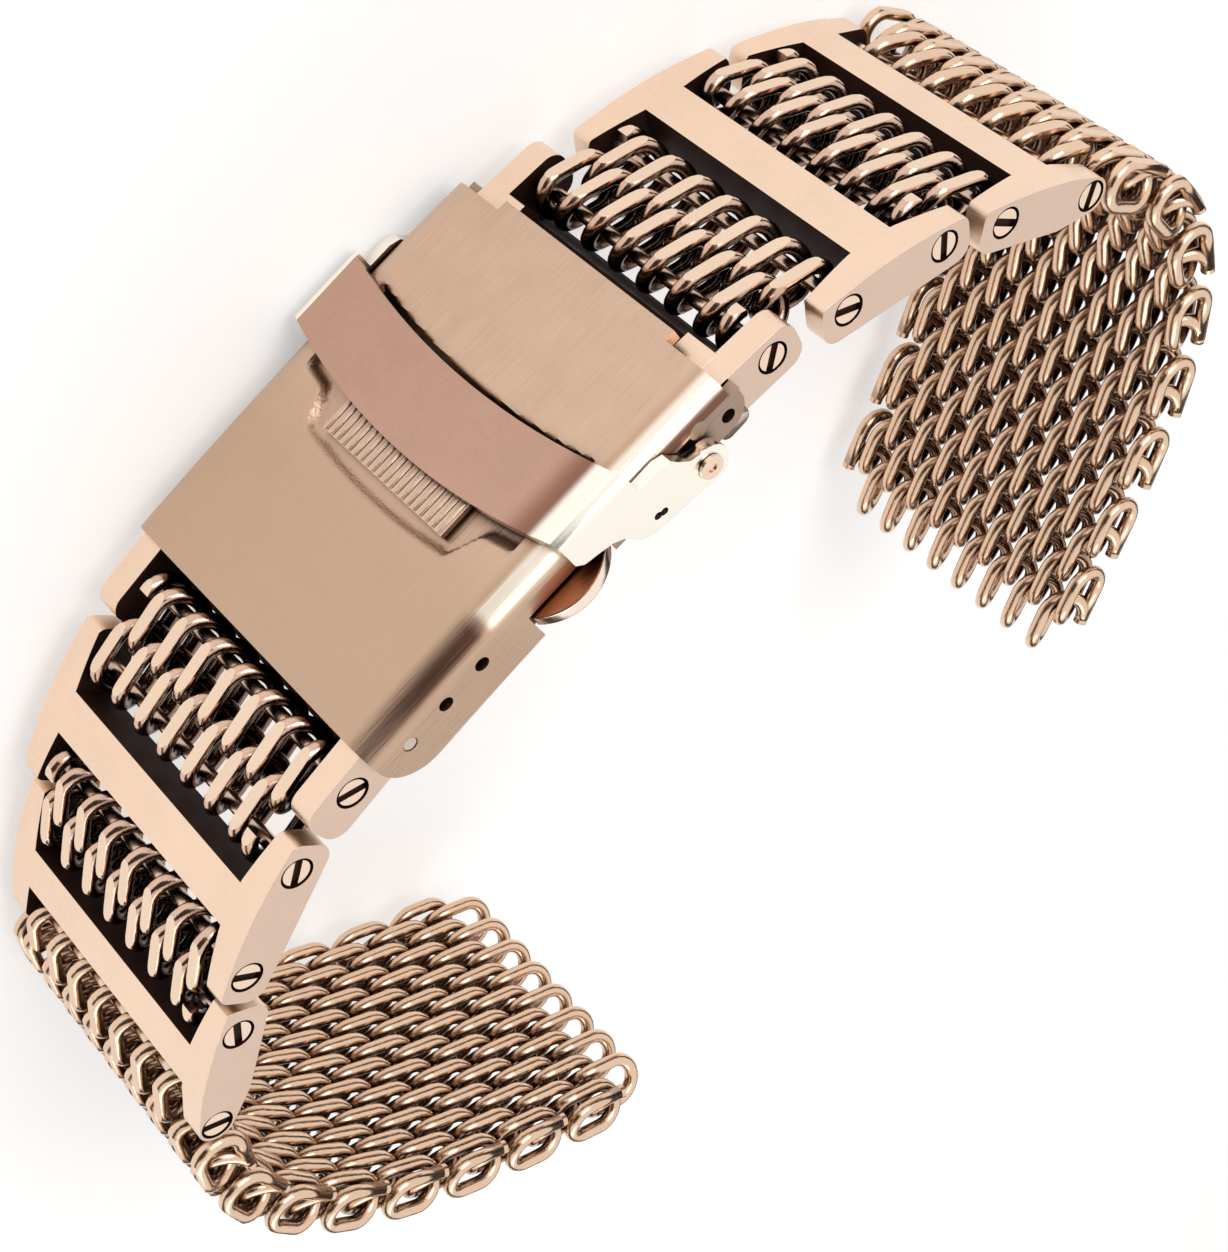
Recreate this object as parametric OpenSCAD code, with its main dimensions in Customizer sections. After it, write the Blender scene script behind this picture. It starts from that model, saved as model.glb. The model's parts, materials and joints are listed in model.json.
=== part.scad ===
// Mesh watch band with a fold-over clasp, closed and lying on its edge.
// In the clasp's frame x runs along the clasp, y points away from the wrist and z runs across the band.
// The lower half leaves the clasp towards -x and the upper half towards +x.

/* [Wire mesh] */
// Diameter of the wire
wire_d = 0.95; // [0.85:0.05:0.95]
// Thickness of the mesh, over the wires
mesh_t = 3.7; // [3.6:0.05:3.8]
// Length of one loop, over the wires
loop_l = 5.4; // [5.3:0.05:5.5]
// Distance from one loop to the next along a spiral
coil_pitch = 2.5; // [2.45:0.01:2.5]
// Loops across the free mesh
free_loops = 9; // [8:1:9]
// Loops across a window of a link
link_loops = 7; // [6:1:7]
// Distance between the rows of the upper half
upper_row_pitch = 2.75; // [2.65:0.05:2.8]
// Distance between the rows of the lower half, which lies slack
lower_row_pitch = 2.55; // [2.55:0.05:2.7]
// Welded pairs of rows in each half
mesh_pairs = 8; // [6:1:9]

/* [Links] */
// Width of a link
link_w = 22; // [22:0.5:22.5]
// Width of a rail of a link
rail_w = 1.77; // [1.6:0.01:1.8]
// Distance between the two rods of a link
rod_span = 7; // [6.8:0.1:7.4]
// Diameter of a rod
rod_d = 0.9; // [0.8:0.05:0.9]
// Diameter of a rod's slotted head
head_d = 1.7; // [1.5:0.05:1.8]
// Width of the bar across a link
bar_w = 2.86; // [2.4:0.02:3]
// Height of a rail above its rods
rail_top = 1.49; // [1.4:0.01:1.6]
// Depth of a rail below its rods
rail_bottom = 1.75; // [1.6:0.05:1.8]
// Length of an end link from its spring bar to its rod
end_link_l = 4; // [3.9:0.1:4.4]

/* [Clasp] */
// Width of the cover
cover_w = 23.8; // [23.6:0.1:24]
// Length of the cover
cover_l = 27.5; // [27.3:0.1:27.8]
// Height of the cover
cover_h = 4.4; // [4.35:0.05:4.6]
// Thickness of the cover's sheet
cover_t = 0.8; // [0.7:0.05:0.8]
// Thickness of the two blades
blade_t = 0.7; // [0.6:0.05:0.7]
// Radius to which the clasp is curved along the band
clasp_r = 250; // [240:10:400]
// Thickness of the safety flap
flap_t = 0.7; // [0.6:0.05:0.7]
// How far a push-button stands out of the cover
button_out = 1.45; // [1.2:0.05:1.5]
// Travel of a push-button
button_travel = 0.8; // [0.6:0.1:0.8]
// Ridges of the thumb grip
grip_ridges = 20; // [16:1:22]

/* [Rest pose] */
// Downward slope of the upper end link
upper_end_slope = -13.3; // [-15:0.1:-12]
// Downward slope of the lower end link
lower_end_slope = 6; // [5:0.5:7]

/* [Hidden] */
$fn = 32;
HALVES = ["upper", "lower"];
NODES = concat(
  ["clasp_cover", "cover_hinge_pin", "flap_rivets", "safety_flap", "thumb_grip", "middle_blade",
   "blade_hinge_pin", "long_blade", "button_left", "button_right", "button_spring_left",
   "button_spring_right"],
  [for (h = HALVES) str(h, "_spring_bar")],
  [for (h = HALVES) str(h, "_end_link")],
  [for (h = HALVES) str(h, "_end_rod")],
  [for (h = HALVES, i = [1:2]) str(h, "_link_", i)],
  [for (h = HALVES, i = [1:2]) str(h, "_link_", i, "_rods")],
  [for (h = HALVES, i = [1:5]) str(h, "_row_", i)],
  [for (h = HALVES, i = [1:mesh_pairs]) str(h, "_mesh_", i)]);
node = "all";
function shown(name) = node == "all" || node == name;

// The middle of the outline and the half of the width over the push-buttons, to place the origin
origin = [1.24, -26.22];
half_w = cover_w / 2 + button_out;

// Wire: the loops' half height, the tilted bends' radius and the straight run between two bends
loop_h = (mesh_t - wire_d) / 2;
bend_r = norm([loop_h, coil_pitch / 4]);
bend_tilt = asin(coil_pitch / 4 / bend_r);
loop_run = loop_l - wire_d - 2 * bend_r;
// Ring-shaped collars cover the seams between the bends and the straight wires
collar_d = wire_d + 0.06;
collar_angle = 5;
seam = 0.06;
stub_l = 0.36;
// Bead of weld where a pair's edge wire meets the bend of its second row
weld_d = collar_d + 0.11;
weld_l = 0.44;

// A rod lies just inside the outer bends of its row
rod_offset = loop_l / 2 - wire_d - rod_d / 2 - 0.08;
rail_over = 1.85;
rail_corner = 1.1;
// Where the free mesh begins, a rail narrows to a round end about its rod
rail_end_r = 1.2;
rail_taper = 2.2;
first_row_pitch = 2.85;
link_arch_r = 30;
bore_gap = 0.05;

// The path of each half: distances between the rods of neighbouring links, and downward slopes of
// the first window, the first link, the second window, the second link and the first free row
function side(h) = h == "upper" ? 1 : -1;
function row_pitch(h) = h == "upper" ? upper_row_pitch : lower_row_pitch;
function bar_at(h) = h == "upper" ? [12.11, -4.6] : [-11.9, adjust_y(-11.9)];
function window_spans(h) = h == "upper" ? [5.36, 4.75] : [5.35, 4.35];
function slopes(h) = h == "upper"
  ? [upper_end_slope, 23.4, 21.3, 36.6, 39.8, 41.8] : [lower_end_slope, 13.6, 26.6, 45, 41, 55.6];
// The bends from row to row of the free mesh ease off towards the strap's end
function first_bend(h) = h == "upper" ? 13.8 : 10.3;
function last_bend(h) = h == "upper" ? -1.2 : -0.1;
function row_slope(h, n) = slopes(h)[5] + n * first_bend(h)
  + (last_bend(h) - first_bend(h)) * n * (n - 1) / 2 / (2 * mesh_pairs - 1);
function pair_slope(h, i) = row_slope(h, 2 * i - 1);

function ahead(h, slope, d) = d * [side(h) * cos(slope), -sin(slope)];
function end_rod_at(h) = bar_at(h) + ahead(h, slopes(h)[0], end_link_l);
function link_rod_at(h, i) = i == 1
  ? end_rod_at(h) + ahead(h, slopes(h)[1], window_spans(h)[0])
  : link_rod_at(h, 1) + ahead(h, slopes(h)[2], rod_span) + ahead(h, slopes(h)[3], window_spans(h)[1]);
function link_at(h, i) = link_rod_at(h, i) + ahead(h, slopes(h)[2 * i], rod_span / 2);
function window_at(h, i) = i == 1
  ? end_rod_at(h) + ahead(h, slopes(h)[1], window_spans(h)[0] / 2)
  : link_rod_at(h, 1) + ahead(h, slopes(h)[2], rod_span) + ahead(h, slopes(h)[3], window_spans(h)[1] / 2);
// The two rows of a window share the play that its rods leave them
function window_row_offset(h, i) = 0.3 * window_spans(h)[i - 1] - 0.155;
function last_rod_at(h) = link_rod_at(h, 2) + ahead(h, slopes(h)[4], rod_span);
function free_row_at(h) = last_rod_at(h) + ahead(h, slopes(h)[5], rod_offset);
function pair_hinge_at(h, i) = i == 1
  ? free_row_at(h) + ahead(h, slopes(h)[5], first_row_pitch - row_pitch(h) / 2)
  : pair_hinge_at(h, i - 1) + ahead(h, pair_slope(h, i - 1), row_pitch(h))
    + ahead(h, row_slope(h, 2 * i - 2), row_pitch(h));

// Clasp: the pins, the holes for adjusting the length and the blades' layers below the cover
cover_x0 = -14.1;
cover_x1 = cover_x0 + cover_l;
wall_in = cover_w / 2 - cover_t;
cover_pin = [10.3, -2.05];
blade_pin = [-8.8, -2.95];
flap_pivot = [9.46, -3.75];
pin_d = 1.2;
blade_pin_d = 1;
rivet_d = 0.9;
adjust_x = [-11.9, -9.1, -6.3];
adjust_d = 0.9;
function adjust_y(x) = -1.95 - x * x / 2 / clasp_r;
middle_top = 1.5;
long_top = 3.1;
knuckle_r = 0.9;
bar_d = 1.3;
bar_tip_d = 0.8;
ear_z = [10.35, 11];
neck_z = 10.25;

button_top = -2.5;
button_t = 0.9;
button_half_l = 2.8;
button_r = (button_half_l * button_half_l + button_out * button_out) / 2 / button_out;
button_back = 9;
spring_turns = 4;
spring_wire_d = 0.2;
spring_r = 0.3;
// Pressed home, the button leaves its spring nearly solid
button_bed = button_back - button_travel - (spring_turns + 2) * spring_wire_d;

flap_z = [cover_w / 2 + 0.1, cover_w / 2 + 0.1 + flap_t];
flap_y = [0.15, 0.95];

// Puts a piece drawn in the clasp's frame where it stands
module stand() translate([-origin.x, -origin.y, half_w]) children();

// Puts a piece drawn in its own frame, with x away from the clasp, at a point of a half
module along(h, at, slope) translate([at.x, at.y, 0]) rotate([0, h == "upper" ? 0 : 180, 0])
  rotate([0, 0, -slope]) children();

module both_sides() {
  children();
  mirror([0, 0, 1]) children();
}
module across(d, z0, z1) translate([0, 0, z0]) cylinder(d = d, h = z1 - z0);
module block(low, high) translate(low) cube(high - low);

// A stretch of a ring round z, whose section is a circle
module ring_arc(d, r, a0, a1)
  rotate([0, 0, a0]) rotate_extrude(angle = a1 - a0) translate([r, 0]) circle(d = d);

// A half ring of wire in the x-y plane that bulges towards +x, with a collar at each end
module half_ring(r) {
  ring_arc(wire_d, r, -90, 90);
  for (a = [-90, 90]) ring_arc(collar_d, r, a - collar_angle, a + collar_angle);
}

// A bend of a spiral: it leaves a top wire at z = 0 and comes back half a pitch on, at the bottom
module bend() translate([loop_run / 2, 0, coil_pitch / 4]) rotate([-bend_tilt, 0, 0]) half_ring(bend_r);
// The next bend, at the rear: from the bottom wire up to the next top wire
module rear_bend() translate([0, 0, coil_pitch / 2]) rotate([0, 0, 180]) bend();

module straight_wire(x0, x1) translate([x0 + seam, 0, 0]) rotate([0, 90, 0])
  cylinder(d = wire_d, h = x1 - x0 - 2 * seam);

// The hook that closes the outermost wire of a row at its rear end. A pair's hooks are set back,
// clear of the pair before.
hook_x = loop_h - (loop_l - wire_d) / 2;
pair_hook_x = hook_x + 0.3;
module hook(x) translate([x, 0, 0]) rotate([0, 0, 180]) half_ring(loop_h);

// One spiral, flattened: it starts with a top wire and ends with a bottom wire.
// Its two outermost wires end at end_x, where a hook may close them.
module spiral(loops, end_x) for (k = [0:loops - 1]) translate([0, 0, k * coil_pitch]) {
  translate([0, loop_h, 0]) straight_wire(k == 0 ? end_x : -loop_run / 2, loop_run / 2);
  translate([0, -loop_h, coil_pitch / 2])
    straight_wire(k == loops - 1 ? end_x : -loop_run / 2, loop_run / 2);
  bend();
  if (k < loops - 1) rear_bend();
}

// Rows of one wire. A front row's outermost wires end at its rear, a back row's at its front.
// The wires end at end_x, where hooks may close them.
function row_w(loops) = (loops - 0.5) * coil_pitch;
full_x = -loop_run / 2;
stub_x = loop_run / 2 - stub_l;
module front_row(loops, end_x, hooked = true) translate([0, 0, -row_w(loops) / 2]) {
  spiral(loops, end_x);
  if (hooked) for (z = [0, row_w(loops)]) translate([0, 0, z]) hook(end_x);
}
module back_row(loops, end_x, hooked = true) rotate([0, 180, 0]) front_row(loops, end_x, hooked);

// A wire in the x-y plane from one point to another
module strut(from, to) translate([from.x, from.y, 0])
  rotate([0, 0, atan2(to.y - from.y, to.x - from.x)]) straight_wire(0, norm(to - from));

function turned(p, a) = [p.x * cos(a) - p.y * sin(a), p.x * sin(a) + p.y * cos(a)];

// Two rows welded at both edges, with a bend between them. The hinge with the row before is at
// the origin.
module welded_pair(pitch, bend_angle) {
  second = [pitch, 0] + turned([pitch / 2, 0], -bend_angle);
  translate([pitch / 2, 0, 0]) front_row(free_loops, pair_hook_x);
  translate([second.x, second.y, 0]) rotate([0, 0, -bend_angle]) back_row(free_loops, stub_x, false);
  for (s = [-1, 1]) let (end = second + turned([-loop_run / 2, s * loop_h], -bend_angle))
    translate([0, 0, s * row_w(free_loops) / 2]) {
      strut([pitch / 2 + pair_hook_x, s * loop_h], end);
      translate([end.x, end.y, 0]) rotate([0, 90, -bend_angle])
        cylinder(d = weld_d, h = weld_l, center = true);
    }
}

module window_row(h, i, first) {
  d = window_row_offset(h, i);
  color("#d9b39b") along(h, window_at(h, i), slopes(h)[2 * i - 1])
    translate([first ? -d : d, 0, 0]) {
      if (first) front_row(link_loops, hook_x);
      else back_row(link_loops, hook_x);
    }
}
module row(h, i) {
  if (i == 5) color("#d9b39b") along(h, free_row_at(h), slopes(h)[5]) back_row(link_loops, full_x, false);
  else window_row(h, i < 3 ? 1 : 2, i % 2 == 1);
}
module mesh(h, i) color("#d9b39b") along(h, pair_hinge_at(h, i), pair_slope(h, i))
  welded_pair(row_pitch(h), row_slope(h, 2 * i) - pair_slope(h, i));

// The side view of a rail from x0 to x1, with round corners
module rail_shape(x0, x1, y0, y1, r) {
  translate([x0 + r, y0]) square([x1 - x0 - 2 * r, y1 - y0]);
  translate([x0, y0 + r]) square([x1 - x0, y1 - y0 - 2 * r]);
  for (x = [x0 + r, x1 - r], y = [y0 + r, y1 - r]) translate([x, y]) circle(r = r);
}
module tapered_rail_shape() {
  x = rod_span / 2;
  rail_shape(-x - rail_over, x - rail_taper + 1, -rail_bottom, rail_top, 1);
  translate([-x, -rail_bottom]) square([2 * x - rail_taper, rail_top + rail_bottom]);
  polygon([[x - rail_taper, -rail_bottom], [x, -rail_end_r], [x, rail_end_r], [x - rail_taper, rail_top]]);
  translate([x, 0]) circle(r = rail_end_r);
}
module extrude_between(z0, z1) translate([0, 0, z0]) linear_extrude(z1 - z0) children();
module rod_bore() {
  across(rod_d + 2 * bore_gap, -link_w, link_w);
  both_sides() across(head_d + 0.1, link_w / 2 - 0.5, link_w);
}
module rails(z0, z1) both_sides() extrude_between(z0, z1) children();

module link(h, i) color("#e8c4a8") along(h, link_at(h, i), slopes(h)[2 * i]) difference() {
  intersection() {
    union() {
      rails(link_w / 2 - rail_w, link_w / 2) if (i == 1)
        rail_shape(-rod_span / 2 - rail_over, rod_span / 2 + rail_over, -rail_bottom, rail_top, rail_corner);
      else tapered_rail_shape();
      block([-bar_w / 2, -1, 0.1 - link_w / 2], [bar_w / 2, rail_top, link_w / 2 - 0.1]);
    }
    translate([0, rail_top - link_arch_r, 0])
      cylinder(r = link_arch_r, h = 2 * link_w, center = true, $fn = 128);
  }
  for (s = [-1, 1]) translate([s * rod_span / 2, 0, 0]) rod_bore();
}

// A rod with a slotted head at each end
module rod() {
  across(rod_d, -link_w / 2 + 0.4, link_w / 2 - 0.4);
  both_sides() difference() {
    across(head_d, link_w / 2 - 0.48, link_w / 2 - 0.05);
    rotate([0, 0, 35]) block([-head_d, -0.17, link_w / 2 - 0.25], [head_d, 0.17, link_w / 2]);
  }
}
module link_rods(h, i) color("#c9a08a") along(h, link_at(h, i), slopes(h)[2 * i])
  for (s = [-1, 1]) translate([s * rod_span / 2, 0, 0]) rotate([0, 0, 50 * s]) rod();
module end_rod(h) color("#c9a08a") along(h, end_rod_at(h), slopes(h)[0]) rod();

// The end link turns on a spring bar at its origin and carries one rod
module end_link(h) {
  boss_d = bar_d + 0.8;
  neck_h = 0.95;
  wide_x = 2.6;
  color("#e8c4a8") along(h, bar_at(h), slopes(h)[0]) difference() {
    union() {
      across(boss_d, -neck_z, neck_z);
      block([0, -0.8, -neck_z], [2.1, 0.8, neck_z]);
      rails(link_w / 2 - rail_w - 0.4, neck_z) translate([0, -neck_h]) square([wide_x + 1.2, 2 * neck_h]);
      rails(link_w / 2 - rail_w, link_w / 2)
        rail_shape(wide_x, end_link_l + rail_over, -rail_bottom, rail_top, rail_corner);
    }
    across(bar_d + 0.14, -link_w, link_w);
    translate([end_link_l, 0, 0]) rod_bore();
    block([2.1, -rail_bottom, rail_w - link_w / 2], [2 * end_link_l, rail_top, link_w / 2 - rail_w]);
  }
}

// A spring bar is a tube with a turned tip at each end
module spring_bar(h) {
  tip = h == "upper" ? ear_z[1] - 0.05 : cover_w / 2 - 0.05;
  color("#b8b0a8") along(h, bar_at(h), 0) {
    across(bar_d, -neck_z + 0.3, neck_z - 0.3);
    across(bar_tip_d, -tip, tip);
  }
}

// A curved strip of the clasp between depths y0 and y1 below the cover's top, from x0 to x1
module clasp_strip(x0, x1, y0, y1, z) translate([0, -clasp_r, 0]) rotate([0, 0, 90 - x1 / clasp_r * 180 / PI])
  rotate_extrude(angle = (x1 - x0) / clasp_r * 180 / PI, $fn = 180)
    translate([clasp_r - y1, -z]) square([y1 - y0, 2 * z]);

// The cover's section: a channel with round upper corners
module cover_section() {
  r = 1;
  difference() {
    union() {
      translate([clasp_r - cover_h, -cover_w / 2]) square([cover_h - r, cover_w]);
      translate([clasp_r - r - 0.01, r - cover_w / 2]) square([r + 0.01, cover_w - 2 * r]);
      for (s = [-1, 1]) translate([clasp_r - r, s * (cover_w / 2 - r)]) circle(r = r);
    }
    translate([clasp_r - cover_h - 1, -wall_in]) square([cover_h + 1 - cover_t, 2 * wall_in]);
  }
}
// What a lower corner of a wall loses to its rounding
module wall_corner(x, y, r, s) translate([x, y, -cover_w]) difference() {
  translate([s > 0 ? -r : -0.5, -0.5, 0]) cube([r + 0.5, r + 0.5, 2 * cover_w]);
  translate([-s * r, r, -1]) cylinder(r = r, h = 2 * cover_w + 2);
}

recess_x = [-3.3, 0.9];
recess_z = 6.3;
module clasp_cover() color("#c8aa8c") difference() {
  translate([0, -clasp_r, 0]) rotate([0, 0, 90 - cover_x1 / clasp_r * 180 / PI])
    rotate_extrude(angle = cover_l / clasp_r * 180 / PI, $fn = 180) cover_section();
  wall_corner(cover_x0, -cover_h - 0.4, 2.4, -1);
  wall_corner(cover_x1, -cover_h - 0.36, 1.4, 1);
  block([cover_x1 - 0.4, -1.6, -7.5], [cover_x1 + 1, 1, 7.5]);
  block([recess_x[0], -0.5, -recess_z], [recess_x[1], 1, recess_z]);
  for (x = adjust_x) translate([x, adjust_y(x), 0]) across(adjust_d, -cover_w, cover_w);
  translate([cover_pin.x, cover_pin.y, 0]) across(pin_d, -cover_w, cover_w);
  translate([flap_pivot.x, flap_pivot.y, 0]) across(rivet_d, -cover_w, cover_w);
  block([-button_half_l - 0.3, -cover_h - 1, -cover_w], [button_half_l + 0.3, button_top + 0.2, cover_w]);
}
module cover_hinge_pin() color("#b8b0a8") translate([cover_pin.x, cover_pin.y, 0])
  across(pin_d, -cover_w / 2 + 0.05, cover_w / 2 - 0.05);

module flap_rivets() color("#e8c4a8") both_sides() translate([flap_pivot.x, flap_pivot.y, 0]) {
  across(rivet_d, wall_in, flap_z[1] + 0.1);
  difference() {
    across(1.5, flap_z[1] + 0.05, flap_z[1] + 0.25);
    across(0.6, flap_z[1] + 0.15, flap_z[1] + 1);
  }
}

// The flap's section across the band: a channel with round outer corners
module flap_section() {
  r = 0.9;
  difference() {
    union() {
      translate([-flap_z[1], -6]) square([2 * flap_z[1], 6 + flap_y[1] - r]);
      translate([r - flap_z[1], 0]) square([2 * (flap_z[1] - r), flap_y[1]]);
      for (s = [-1, 1]) translate([s * (flap_z[1] - r), flap_y[1] - r]) circle(r = r);
    }
    translate([-flap_z[0], -7]) square([2 * flap_z[0], 7 + flap_y[0]]);
  }
}
// The band of the flap bows towards the lower half, seen from above
module flap_plan() difference() {
  intersection() {
    translate([-2, -flap_z[1] - 1]) square([8, 2 * flap_z[1] + 2]);
    translate([43.95, 0]) circle(r = 45, $fn = 128);
  }
  translate([56.15, 0]) circle(r = 52, $fn = 128);
}
// The side arm, from the band down to its rivet
module flap_arm_plan() {
  polygon([[0.7, 1], [0.7, -1.1], [1.1, -1.6], [2, -1.85], [2.9, -2.15], [3.5, -2.6], [3.9, -3.3],
    [4.3, -4], [5, -4.35], [6.2, -4.55], [7.6, -4.7], [8.9, -5], [10, -2.7], [8.8, -2.2],
    [8.3, -1.5], [8, -0.9], [7.3, -0.62], [5.7, -0.62], [5.7, 1]]);
  translate(flap_pivot) circle(r = 1.3);
}
module safety_flap() color("#b4917d") difference() {
  intersection() {
    translate([-3, 0, 0]) rotate([0, 90, 0]) linear_extrude(15) flap_section();
    union() {
      translate([0, 2, 0]) rotate([90, 0, 0]) linear_extrude(2.6) flap_plan();
      both_sides() extrude_between(flap_z[0] - 0.2, flap_z[1] + 1) flap_arm_plan();
    }
  }
  translate([flap_pivot.x, flap_pivot.y, 0]) across(rivet_d + 2 * bore_gap, -cover_w, cover_w);
  for (x = [5.65, 6.05]) translate([x, -3.45 - (x - 5.65) / 3, 0]) across(0.5, -cover_w, cover_w);
}

// The ridged lip under the middle of the flap, which a thumbnail lifts
module thumb_grip() {
  pitch = 0.57;
  w = grip_ridges * pitch;
  color("#d8b496") {
    block([-2.9, -0.36, -w / 2], [0.4, 0, w / 2]);
    block([-0.6, -0.1, -w / 2], [0.4, flap_y[0], w / 2]);
    for (k = [0:grip_ridges - 1]) translate([-2.85, -0.02, (k + 0.5) * pitch - w / 2])
      rotate([0, 90, 0]) cylinder(d = 0.3, h = 2.1);
  }
}

module middle_blade() color("#c9a990") difference() {
  union() {
    clasp_strip(-7.6, 9.6, middle_top, middle_top + blade_t, 6.2);
    clasp_strip(-8.6, -7.4, middle_top, middle_top + blade_t, 3.2);
    translate([cover_pin.x, cover_pin.y, 0]) across(2 * knuckle_r, -8, 8);
    translate([blade_pin.x, blade_pin.y, 0]) across(2 * knuckle_r, -3.5, 3.5);
  }
  translate([cover_pin.x, cover_pin.y, 0]) across(pin_d + 2 * bore_gap, -9, 9);
  translate([blade_pin.x, blade_pin.y, 0]) across(blade_pin_d + 2 * bore_gap, -9, 9);
}
module blade_hinge_pin() color("#b8b0a8") translate([blade_pin.x, blade_pin.y, 0])
  across(blade_pin_d, -9, 9);

// The ear that holds the upper spring bar
module ear_plan() {
  rail_shape(11.15, 13.25, -5.85, -1.9, 0.6);
  translate([9.4, -4.25]) square([2.6, 0.85]);
}
module button_bay() {
  block([-3.7, -4.3, button_bed - 0.6], [3.7, button_top + 0.45, wall_in - 0.1]);
}
module button_room() block([-button_half_l - 0.12, button_top - button_t - 0.08, button_bed],
  [button_half_l + 0.12, button_top + 0.08, cover_w]);
module long_blade() color("#c2b0a0") difference() {
  union() {
    difference() {
      clasp_strip(-8.3, 9, long_top, long_top + blade_t, 9);
      block([-9, -5, -3.8], [-7.4, -2, 3.8]);
    }
    clasp_strip(8.8, 10.75, long_top, long_top + blade_t, ear_z[1]);
    for (z = [-9, 3.8]) translate([blade_pin.x, blade_pin.y, 0]) across(2 * knuckle_r, z, z + 5.2);
    rails(ear_z[0], ear_z[1]) ear_plan();
    both_sides() button_bay();
  }
  translate([blade_pin.x, blade_pin.y, 0]) across(blade_pin_d, -10, 10);
  translate([bar_at("upper").x, bar_at("upper").y, 0]) across(adjust_d, -cover_w, cover_w);
  both_sides() button_room();
}

// A push-button: a rounded tongue that slides across the band in its bay
module button() {
  centre_z = cover_w / 2 + button_out - button_r;
  intersection() {
    translate([0, button_top, centre_z]) rotate([90, 0, 0]) cylinder(r = button_r, h = button_t, $fn = 96);
    block([-button_half_l, -6, button_back], [button_half_l, 0, cover_w]);
  }
}
module button_spring() {
  sides = 6;
  steps = 10;
  n = spring_turns * steps;
  length = button_back - button_bed - spring_wire_d;
  rings = [for (k = [0:n]) let (a = 360 * k / steps)
    [for (j = [0:sides - 1]) let (b = 360 * j / sides, r = spring_r + spring_wire_d / 2 * cos(b))
      [r * cos(a), r * sin(a), spring_wire_d / 2 + length * k / n + spring_wire_d / 2 * sin(b)]]];
  points = [for (ring = rings, p = ring) p];
  walls = [for (k = [0:n - 1], j = [0:sides - 1]) let (a = k * sides, b = (j + 1) % sides)
    each [[a + j, a + b, a + sides + b], [a + j, a + sides + b, a + sides + j]]];
  caps = [for (j = [1:sides - 2]) each [[0, j + 1, j], [n * sides, n * sides + j, n * sides + j + 1]]];
  color("#b8b0a8") translate([0, button_top - button_t / 2, button_bed])
    polyhedron(points, concat(walls, caps));
}

if (shown("clasp_cover")) stand() clasp_cover();
if (shown("cover_hinge_pin")) stand() cover_hinge_pin();
if (shown("flap_rivets")) stand() flap_rivets();
if (shown("safety_flap")) stand() safety_flap();
if (shown("thumb_grip")) stand() thumb_grip();
if (shown("middle_blade")) stand() middle_blade();
if (shown("blade_hinge_pin")) stand() blade_hinge_pin();
if (shown("long_blade")) stand() long_blade();
if (shown("button_left")) stand() color("#a5664a") mirror([0, 0, 1]) button();
if (shown("button_right")) stand() color("#a5664a") button();
if (shown("button_spring_left")) stand() mirror([0, 0, 1]) button_spring();
if (shown("button_spring_right")) stand() button_spring();
for (h = HALVES) {
  if (shown(str(h, "_spring_bar"))) stand() spring_bar(h);
  if (shown(str(h, "_end_link"))) stand() end_link(h);
  if (shown(str(h, "_end_rod"))) stand() end_rod(h);
  for (i = [1:2]) {
    if (shown(str(h, "_link_", i))) stand() link(h, i);
    if (shown(str(h, "_link_", i, "_rods"))) stand() link_rods(h, i);
  }
  for (i = [1:5]) if (shown(str(h, "_row_", i))) stand() row(h, i);
  for (i = [1:mesh_pairs]) if (shown(str(h, "_mesh_", i))) stand() mesh(h, i);
}
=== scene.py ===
# The looks of the mesh watch band: wire mesh, links, clasp, steel, lights and camera.
# Sizes are in millimetres in each piece's own frame, and pieces are placed by matrices in metres.
import json
import math

import bmesh
import bpy
from mathutils import Matrix, Vector

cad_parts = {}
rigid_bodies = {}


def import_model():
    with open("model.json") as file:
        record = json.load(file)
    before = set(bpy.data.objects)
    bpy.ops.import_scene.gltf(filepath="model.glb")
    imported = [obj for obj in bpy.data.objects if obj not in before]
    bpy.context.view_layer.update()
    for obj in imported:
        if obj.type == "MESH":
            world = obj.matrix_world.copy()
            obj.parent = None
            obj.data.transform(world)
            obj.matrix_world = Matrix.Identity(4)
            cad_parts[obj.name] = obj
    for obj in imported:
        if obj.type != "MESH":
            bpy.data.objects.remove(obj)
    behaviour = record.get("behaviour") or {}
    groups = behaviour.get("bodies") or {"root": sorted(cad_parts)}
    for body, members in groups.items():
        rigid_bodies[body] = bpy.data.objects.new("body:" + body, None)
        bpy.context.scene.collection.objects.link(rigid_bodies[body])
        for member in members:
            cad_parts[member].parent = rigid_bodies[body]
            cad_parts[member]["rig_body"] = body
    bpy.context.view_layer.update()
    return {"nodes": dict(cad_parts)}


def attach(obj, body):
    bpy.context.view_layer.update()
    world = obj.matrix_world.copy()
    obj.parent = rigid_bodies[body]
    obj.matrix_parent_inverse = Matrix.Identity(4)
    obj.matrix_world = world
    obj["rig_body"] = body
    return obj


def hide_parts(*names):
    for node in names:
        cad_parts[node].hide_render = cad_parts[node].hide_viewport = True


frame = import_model()

MM = 0.001
HALVES = ("upper", "lower")

# Place of the clasp's frame in the row frame
ORIGIN = Vector((-1.24, 26.22, 13.35))

# Wire mesh
WIRE_D = 0.95
LOOP_L = 5.4
LOOP_H = 1.375
COIL_PITCH = 2.5
FREE_LOOPS = 9
LINK_LOOPS = 7
BEND_R = math.hypot(LOOP_H, COIL_PITCH / 4)
BEND_TILT = math.asin(COIL_PITCH / 4 / BEND_R)
LOOP_RUN = LOOP_L - WIRE_D - 2 * BEND_R
HOOK_X = LOOP_H - (LOOP_L - WIRE_D) / 2
PAIR_HOOK_X = HOOK_X + 0.3
STUB_X = LOOP_RUN / 2 - 0.36
WIRE_SIDES = 16
BEND_STEPS = 14
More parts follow.
